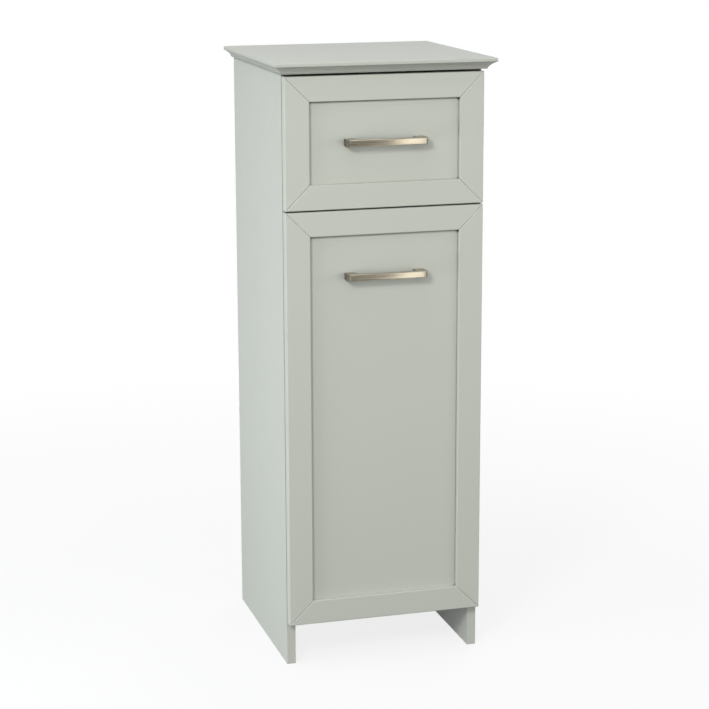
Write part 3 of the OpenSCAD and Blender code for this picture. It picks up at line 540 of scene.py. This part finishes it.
# the top board, whose deep cove is darkened over a wider reach as painted shade
coveShadeValues = dict(paintValues, cornerShadeReach=0.03, cornerShadeSpan=(1.0, 0.62), cornerShadeDepth=0.55)
foilValues = {
    "darkTone": rgb(226, 226, 221),
    "lightTone": rgb(234, 234, 230),
    # lighter edges, from rubbing and as painted highlight; darker inner corners, as painted shade
    "wearHighlightTone": rgb(240, 240, 236),
    "wearHighlightLift": 0.4,
    "edgeRadius": 0.0004,
    "cornerShadeTone": rgb(176, 176, 170),
    "cornerShadeDepth": 0.5,
    "cornerShadeReach": 0.004,
    "cornerShadeSpan": (0.62, 0.44),
    "grainSize": 0.0007,
    "grainHeight": 0.00003,
    "toneSize": 0.12,
    "roughness": (0.5, 0.62),
}
runnerValues = dict(
    foilValues,
    darkTone=rgb(228, 229, 226),
    lightTone=rgb(238, 239, 236),
    edgeRadius=0.0003,
    grainSize=0.0009,
    grainHeight=0.00004,
    roughness=(0.3, 0.42),
)
nylonValues = dict(
    foilValues,
    darkTone=rgb(228, 226, 216),
    lightTone=rgb(236, 234, 226),
    edgeRadius=0.0003,
    grainSize=0.0004,
    grainHeight=0.000008,
    roughness=(0.36, 0.46),
)
catchValues = dict(nylonValues, darkTone=rgb(224, 224, 220), lightTone=rgb(233, 233, 229))
bumperValues = dict(
    nylonValues,
    darkTone=rgb(206, 207, 203),
    lightTone=rgb(216, 217, 214),
    roughness=(0.2, 0.3),
)
nickelValues = {
    "darkTone": rgb(146, 138, 122),
    "lightTone": rgb(196, 188, 170),
    # lighter edges, from rubbing and as painted highlight; the ends and corners near the panel
    # darker, as painted shade
    "wearHighlightTone": rgb(222, 214, 198),
    "wearHighlightLift": 0.4,
    "edgeRadius": 0.0008,
    "cornerShadeTone": rgb(74, 68, 58),
    "cornerShadeDepth": 0.7,
    "cornerShadeReach": 0.03,
    "cornerShadeSpan": (0.95, 0.6),
    "lineWidth": 0.0008,
    "lineHeight": 0.000012,
    "roughness": (0.24, 0.34),
    "bar": {"Half_Length": 0.0545, "End_Length": 0.006, "Bow": 0.22, "Turn": 0.45},
}
zincValues = dict(
    nickelValues,
    darkTone=rgb(176, 178, 181),
    lightTone=rgb(206, 208, 210),
    wearHighlightTone=rgb(224, 225, 227),
    edgeRadius=0.0002,
    cornerShadeDepth=0.25,
    cornerShadeReach=0.01,
    lineWidth=0.0006,
    lineHeight=0.000008,
    roughness=(0.28, 0.4),
    bar=None,
)
magnetValues = dict(
    zincValues,
    darkTone=rgb(72, 72, 75),
    lightTone=rgb(92, 92, 95),
    wearHighlightTone=rgb(120, 120, 122),
    roughness=(0.5, 0.62),
)
beechValues = {
    "darkTone": rgb(196, 158, 112),
    "lightTone": rgb(220, 186, 142),
    "stretch": (0.06, 1.0, 1.0),
    "grainScale": 900.0,
    "grainHeight": 0.00005,
    "roughness": 0.62,
}
canvasValues = {
    "darkTone": rgb(214, 204, 184),
    "lightTone": rgb(228, 220, 203),
    "gapShadeTone": rgb(168, 156, 134),
    "gapShadeSpan": (0.0, 0.45),  # how much of a thread's height counts as gap, darkened as painted shade
    "threadSize": 0.0011,
    "threadHeight": 0.00025,
    "roughness": 0.85,
    "fuzz": 0.25,
    "fuzzRoughness": 0.5,
}
threadValues = dict(
    canvasValues,
    darkTone=rgb(232, 226, 212),
    lightTone=rgb(240, 235, 222),
    threadSize=0.0003,
    threadHeight=0.00005,
)

materials = {
    "sage_paint": makeCoat("sagePaint", paintValues),
    "white_foil": makeCoat("whiteFoil", foilValues),
    "runner_coat": makeCoat("runnerCoat", runnerValues),
    "nylon": makeCoat("rollerNylon", nylonValues),
    "catch_plastic": makeCoat("catchPlastic", catchValues),
    "bumper": makeCoat("bumperDot", bumperValues),
    "handle_nickel": makeMetal("handleNickel", nickelValues),
    "zinc_steel": makeMetal("zincSteel", zincValues),
    "magnet": makeMetal("catchMagnet", magnetValues),
    "beech": makeWood("beechDowel", beechValues),
    "bag_cloth": makeCloth("bagCanvas", canvasValues),
}
seamThread = makeCloth("seamThread", threadValues)
ownFinish = {"top_board": makeCoat("mouldingShadedPaint", coveShadeValues)}
for row in frame["record"]["subparts"]:
    mesh = nodes[row["node"]].data
    mesh.materials.clear()
    mesh.materials.append(ownFinish.get(row["node"], materials[row["material_slot"]]))
print("finishes made:", len(materials))

# the laundry bag: one cut of canvas, sewn into a sack that hangs on the two rods of the hamper
bagValues = {
    "half": 0.103,  # half its width
    "front": (-0.1043, 0.5515),  # y and z of the front panel's upper edge, level with the rod
    "rear": (0.0843, 0.5122),
    "floorZ": 0.0995,
    "floorRear": 0.0277,
    "rods": ((-0.0990, 0.5515), (0.0790, 0.5122)),
    "rows": 56,
    "columns": 26,
    "depthColumns": 20,
    "sleeveRadius": 0.0038,
    "sleeveStep": 20,  # degrees between the folds of a sleeve over its rod
    "hem": 0.016,
    "hemRows": (0.006, 0.010),  # folds of the hem, below the rod
    "hemInside": 0.0022,  # how far inside its panel the hem lies
    "mostBulge": 0.0015,  # sideways, because the hamper's sides are near
    "seamReach": 0.0016,
    "seamLean": (0.3, 0.95),  # normals between these lie on the rounded corner of a seam
    "seamLift": 0.0012,
    "weldWithin": 0.00005,
    "thickness": 0.0009,
    "creaseAngle": 50,  # degrees
    "flatCut": (0.584, 1.073),
    "flatArea": 0.361,
}
sagValues = {
    "steps": 36,
    "quality": 7,
    "mass": 0.4,
    "airDamping": 2.0,
    "tension": 18,
    "compression": 12,
    "shear": 6,
    "bending": 0.8,
    "looseness": -0.03,
    "heldAside": 0.0065,  # what this near a rod, and no lower than its hem, is held
    "heldBelow": 0.0005,
    "mostMove": 0.012,  # longer moves of the run are cut to this, about half of them
}
stitchValues = {
    "pitch": 0.0044,
    "size": (0.00028, 0.00028, 0.0014),
    "margin": 0.004,  # free of stitches at each side
    "drop": 0.012,  # below the rod
    "outside": 0.00055,
    "inside": 0.00275,
}
longEdge = 0.1  # only edges of the plain box, not cut yet, are longer
openTop = 0.5  # only the box's upper face has a normal that points up more than this
facing = 0.7  # a normal with more than this share of an axis faces along it


def selectBy(mesh, mode, test):
    # in edit mode: selects only the vertices, edges or faces that pass the test
    bpy.ops.mesh.select_all(action="DESELECT")
    bpy.ops.mesh.select_mode(type=mode)
    build = bmesh.from_edit_mesh(mesh)
    for item in {"VERT": build.verts, "EDGE": build.edges, "FACE": build.faces}[mode]:
        item.select_set(test(item))
    build.select_flush_mode()
    bmesh.update_edit_mesh(mesh)


def near(a, b):
    return abs(a - b) < 1e-5


def sleeves(v):
    # each rod, the upper edge that is folded over it, and the way inwards along Y
    return (v["rods"][0], v["front"], 1), (v["rods"][1], v["rear"], -1)


def keepInside(point, v):
    limit = v["half"] + v["mostBulge"]
    point.co.x = max(-limit, min(limit, point.co.x))


def makeBag(v):
    (frontY, frontZ), (rearY, rearZ) = v["front"], v["rear"]
    bpy.ops.object.select_all(action="DESELECT")
    bpy.ops.mesh.primitive_cube_add(size=2, location=(0, 0, 0))
    bag = bpy.context.object
    bag.name = "laundryBagCloth"
    mesh = bag.data
    for point in mesh.vertices:
        x, y, z = point.co
        if z > 0:
            place = (frontY, frontZ) if y < 0 else (rearY, rearZ)
        else:
            place = (frontY, v["floorZ"]) if y < 0 else (v["floorRear"], v["floorZ"])
        point.co = (x * v["half"], *place)
    bpy.ops.object.mode_set(mode="EDIT")
    selectBy(mesh, "FACE", lambda face: face.normal.z > openTop)
    bpy.ops.mesh.delete(type="FACE")
    # rows up the panels, then columns across the panels and along the gussets
    for axis, cuts in ((2, v["rows"]), (0, v["columns"]), (1, v["depthColumns"])):
        selectBy(mesh, "EDGE", lambda edge:
                 abs(edge.verts[0].co[axis] - edge.verts[1].co[axis]) > longEdge)
        bpy.ops.mesh.subdivide(number_cuts=cuts)
    # each upper edge is folded inwards over its rod and sewn to the panel below it
    for (rodY, rodZ), (edgeY, edgeZ), inward in sleeves(v):
        selectBy(mesh, "EDGE", lambda edge: edge.is_boundary and all(
            near(point.co.y, edgeY) and near(point.co.z, edgeZ) for point in edge.verts))
        path = []
        for angle in range(0, 181, v["sleeveStep"]):
            across = inward * v["sleeveRadius"] * math.cos(math.radians(angle))
            path.append((rodY - across, rodZ + v["sleeveRadius"] * math.sin(math.radians(angle))))
        for drop in (*v["hemRows"], v["hem"]):
            path.append((edgeY + inward * v["hemInside"], rodZ - drop))
        lastY, lastZ = edgeY, edgeZ
        for y, z in path:
            step = (0, y - lastY, z - lastZ)
            bpy.ops.mesh.extrude_region_move(TRANSFORM_OT_translate={"value": step})
            lastY, lastZ = y, z
    bpy.ops.mesh.select_all(action="SELECT")
    bpy.ops.mesh.remove_doubles(threshold=v["weldWithin"])
    bpy.ops.mesh.normals_make_consistent(inside=False)
    bpy.ops.object.mode_set(mode="OBJECT")
    # flat cut: the weave runs along the panels and gussets
    flat = mesh.uv_layers.new(name="flatCut")
    for face in mesh.polygons:
        gusset, level = abs(face.normal.x) > facing, abs(face.normal.z) > facing
        for loop in face.loop_indices:
            x, y, z = mesh.vertices[mesh.loops[loop].vertex_index].co
            flat.data[loop].uv = (y if gusset else x, y + z if level else z)
    print("bag cut:", len(mesh.polygons), "faces")
    return bag


def sagBag(bag, v, s):
    # a short cloth run with its moves cut short: the sleeves are held, and the loose cloth sags
    mesh = bag.data
    start = [point.co.copy() for point in mesh.vertices]
    onRods = []
    for point in mesh.vertices:
        for y, z in v["rods"]:
            if abs(point.co.y - y) < s["heldAside"] and point.co.z > z - v["hem"] - s["heldBelow"]:
                onRods.append(point.index)
    held = bag.vertex_groups.new(name="held")
    held.add(onRods, 1.0, "REPLACE")
    cloth = bag.modifiers.new("Cloth", "CLOTH")
    cloth.settings.quality = s["quality"]
    cloth.settings.mass = s["mass"]
    cloth.settings.air_damping = s["airDamping"]
    cloth.settings.tension_stiffness = s["tension"]
    cloth.settings.compression_stiffness = s["compression"]
    cloth.settings.shear_stiffness = s["shear"]
    cloth.settings.bending_stiffness = s["bending"]
    cloth.settings.shrink_min = s["looseness"]
    cloth.settings.vertex_group_mass = held.name
    cloth.point_cache.frame_start, cloth.point_cache.frame_end = 1, s["steps"]
    scene = bpy.context.scene
    for step in range(1, s["steps"] + 1):
        scene.frame_set(step)
    bpy.context.view_layer.objects.active = bag
    bpy.ops.object.modifier_apply(modifier="Cloth")
    scene.frame_set(1)
    cutShort = 0
    for point, old in zip(mesh.vertices, start):
        move = point.co - old
        if move.length > s["mostMove"]:
            point.co = old + move * (s["mostMove"] / move.length)
            cutShort += 1
        keepInside(point, v)
    print("bag sagged, moves cut short:", cutShort, "of", len(start))


def finishBag(bag, v):
    # raised seams where the gussets are sewn on, then the cloth's thickness
    bpy.ops.object.select_all(action="DESELECT")
    bag.select_set(True)
    bpy.context.view_layer.objects.active = bag
    least, most = v["seamLean"]
    for point in bag.data.vertices:
        if abs(abs(point.co.x) - v["half"]) < v["seamReach"] and least < abs(point.normal.x) < most:
            point.co += point.normal * v["seamLift"]
            keepInside(point, v)
    smooth = bag.modifiers.new("Smooth", "SUBSURF")
    smooth.levels = smooth.render_levels = 1
    wall = bag.modifiers.new("Wall", "SOLIDIFY")
    wall.thickness = v["thickness"]
    wall.offset = 0
    bpy.ops.object.modifier_apply(modifier="Smooth")
    bpy.ops.object.modifier_apply(modifier="Wall")
    bpy.ops.object.shade_smooth_by_angle(angle=math.radians(v["creaseAngle"]))
    bag.data.materials.clear()
    bag.data.materials.append(materials["bag_cloth"])
    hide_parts("laundry_bag")
    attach(bag, "hamper")


def makeStitches(v, s):
    # rows of thread that close the sleeves, on the outside and the inside of each panel
    rows = []
    count = int(2 * (v["half"] - s["margin"]) / s["pitch"])
    firstX = -(count - 1) * s["pitch"] / 2
    for (rodY, rodZ), (edgeY, edgeZ), inward in sleeves(v):
        for y in (edgeY - inward * s["outside"], edgeY + inward * s["inside"]):
            bpy.ops.object.select_all(action="DESELECT")
            bpy.ops.mesh.primitive_uv_sphere_add(segments=8, ring_count=5, radius=1,
                                                 location=(firstX, y, rodZ - s["drop"]),
                                                 rotation=(0, math.radians(90), 0))
            row = bpy.context.object
            row.scale = s["size"]
            bpy.ops.object.transform_apply(location=True, rotation=True, scale=True)
            repeat = row.modifiers.new("Row", "ARRAY")
            repeat.count = count
            repeat.use_relative_offset = False
            repeat.use_constant_offset = True
            repeat.constant_offset_displace = (s["pitch"], 0, 0)
            bpy.ops.object.modifier_apply(modifier="Row")
            rows.append(row)
    bpy.ops.object.select_all(action="DESELECT")
    for row in rows:
        row.select_set(True)
    bpy.context.view_layer.objects.active = rows[0]
    bpy.ops.object.join()
    stitches = bpy.context.object
    stitches.name = "bagStitches"
    bpy.ops.object.shade_smooth()
    stitches.data.materials.clear()
    stitches.data.materials.append(seamThread)
    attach(stitches, "hamper")
    return stitches


bag = makeBag(bagValues)
sagBag(bag, bagValues, sagValues)
finishBag(bag, bagValues)
stitches = makeStitches(bagValues, stitchValues)
print("bag sewn:", len(bag.data.polygons), "faces")

# stage: a pale floor, two grey screens that only shiny pieces show, and soft lamps all round
stageValues = {
    "floorSize": 14.0,
    "floorDrop": 0.0002,  # just under the legs
    "floorColour": rgb(105, 106, 104),  # as the cabinet's underside and legs see it
    "floorSeen": rgb(230, 230, 230),  # as the camera sees it
    "floorWhite": 0.82,  # share of plain white in it at the cabinet
    "fade": (0.5, 1.6),  # metres from the cabinet over which the floor turns plain white
    "worldColour": rgb(240, 244, 250),
    "worldStrength": 0.5,
    "matteOnly": ("leftSoftbox", "keySoftbox", "backSoftbox"),  # lamps that shiny pieces don't show
    "screens": {
        # name: place, turn about Z in degrees, size, greys at its two sides
        "frontScreen": ((0.6, -1.9, 1.5), 0, 3.0, (0.16, 1.0)),
        "leftScreen": ((-2.8, -1.0, 0.9), 90, 3.2, (0.1, 0.1)),
    },
    "lamps": {
        # name: place, aim, size, watts, colour
        "leftSoftbox": ((-1.4, -0.36, 0.34), (0, 0, 0.1), 0.6, 10.5, rgb(242, 250, 255)),
        "keySoftbox": ((-1.35, -1.9, 1.7), (0, 0, 0.55), 0.55, 30.9, rgb(255, 253, 249)),
        "frontSoftbox": ((0.2, -2.3, 1.2), (0, 0, 0.45), 0.9, 2.5, rgb(255, 252, 247)),
        "topSoftbox": ((-0.2, -0.3, 1.75), (0, 0, 0.8), 0.8, 2.8, rgb(255, 254, 250)),
        "rightSoftbox": ((2.2, -1.3, 0.8), (0, 0, 0.6), 0.6, 8, rgb(255, 252, 246)),
        "lowSoftbox": ((0.95, -1.8, 0.42), (0, 0, 0.3), 0.8, 5.3, rgb(255, 252, 246)),
        "backSoftbox": ((1.7, 2.4, 0.9), (0, 0, 0.4), 1.4, 38, rgb(255, 252, 248)),
    },
}


def addSeen(tree):
    # 1 for what the camera sees, straight or in shiny and clear surfaces
    path = addNode(tree, "ShaderNodeLightPath", -600, 200)
    first = addMath(tree, "ADD", -350, 200)
    seen = addMath(tree, "ADD", -150, 200, use_clamp=True)
    join(tree,
         (path, "Is Camera Ray", first, 0),
         (path, "Is Glossy Ray", first, 1),
         (first, 0, seen, 0),
         (path, "Is Transmission Ray", seen, 1))
    return path, seen


def makeFloor(v):
    bpy.ops.object.select_all(action="DESELECT")
    bpy.ops.mesh.primitive_plane_add(size=v["floorSize"], location=(0, 0, -v["floorDrop"]))
    floor = bpy.context.object
    floor.name = "floor"
    material = bpy.data.materials.new("paleFloor")
    tree = emptyTree(material)
    output = addNode(tree, "ShaderNodeOutputMaterial", 850, 0)
    path, seen = addSeen(tree)
    tone = mixColours(tree, -200, 0, v["floorColour"], v["floorSeen"])
    matt = addNode(tree, "ShaderNodeBsdfDiffuse", 0, 0)
    glow = addNode(tree, "ShaderNodeEmission", 0, -200)
    setInputs(glow, Color=white, Strength=1.0)
    coords = addNode(tree, "ShaderNodeTexCoord", -600, 500)
    far = addVectorMath(tree, "LENGTH", -400, 500)
    fade = spreadValue(tree, -150, 500, v["fade"], (v["floorWhite"], 1.0))
    share = addMath(tree, "MULTIPLY", 200, 200)
    mix = addNode(tree, "ShaderNodeMixShader", 450, 0)
    below = addNode(tree, "ShaderNodeNewGeometry", 300, 400)  # the floor is clear from below
    clear = addNode(tree, "ShaderNodeBsdfTransparent", 450, -200)
    sided = addNode(tree, "ShaderNodeMixShader", 650, 0)
    join(tree,
         (path, "Is Camera Ray", tone, mixFactor),
         (tone, mixResult, matt, "Color"),
         (coords, "Object", far, 0),
         (far, "Value", fade, "Value"),
         (seen, 0, share, 0),
         (fade, "Result", share, 1),
         (share, 0, mix, 0),
         (matt, 0, mix, 1),
         (glow, 0, mix, 2),
         (below, "Backfacing", sided, 0),
         (mix, 0, sided, 1),
         (clear, 0, sided, 2),
         (sided, 0, output, "Surface"))
    floor.data.materials.append(material)


def makeWorld(v):
    world = bpy.data.worlds.new("studio")
    bpy.context.scene.world = world
    tree = emptyTree(world)
    output = addNode(tree, "ShaderNodeOutputWorld", 700, 0)
    path, seen = addSeen(tree)
    room = addNode(tree, "ShaderNodeBackground", 0, 0)
    setInputs(room, Color=v["worldColour"], Strength=v["worldStrength"])
    plain = addNode(tree, "ShaderNodeBackground", 0, -200)
    setInputs(plain, Color=white, Strength=1.0)
    mix = addNode(tree, "ShaderNodeMixShader", 450, 0)
    join(tree, (seen, 0, mix, 0), (room, 0, mix, 1), (plain, 0, mix, 2), (mix, 0, output, "Surface"))


def makeScreens(v):
    # the darker sides of the room, in front and at the left
    for name, (place, turn, size, greys) in v["screens"].items():
        bpy.ops.object.select_all(action="DESELECT")
        bpy.ops.mesh.primitive_plane_add(size=size, location=place,
                                         rotation=(math.radians(90), 0, math.radians(turn)))
        screen = bpy.context.object
        screen.name = name
        material = bpy.data.materials.new(name)
        tree = emptyTree(material)
        output = addNode(tree, "ShaderNodeOutputMaterial", 300, 0)
        glow = addNode(tree, "ShaderNodeEmission", 0, 0)
        coords = addNode(tree, "ShaderNodeTexCoord", -600, 0)
        parts = addNode(tree, "ShaderNodeSeparateXYZ", -400, 0)
        grey = spreadValue(tree, -200, 0, (-size / 2, size / 2), greys)
        join(tree,
             (coords, "Object", parts, "Vector"),
             (parts, "X", grey, "Value"),
             (grey, "Result", glow, "Strength"),
             (glow, 0, output, "Surface"))
        screen.data.materials.append(material)
        screen.visible_camera = screen.visible_diffuse = False
        screen.visible_shadow = screen.visible_transmission = False


def makeLamps(v):
    for name, (place, aim, size, watts, colour) in v["lamps"].items():
        data = bpy.data.lights.new(name, "AREA")
        data.shape = "SQUARE"
        data.size = size
        data.energy = watts
        data.color = colour[:3]
        lamp = bpy.data.objects.new(name, data)
        lamp.location = place
        lamp.visible_glossy = name not in v["matteOnly"]
        lamp.rotation_euler = (Vector(aim) - Vector(place)).to_track_quat("-Z", "Y").to_euler()
        bpy.context.scene.collection.objects.link(lamp)


makeFloor(stageValues)
makeScreens(stageValues)
makeWorld(stageValues)
makeLamps(stageValues)
bpy.context.scene.view_settings.view_transform = "Standard"
print("stage and lamps ready")
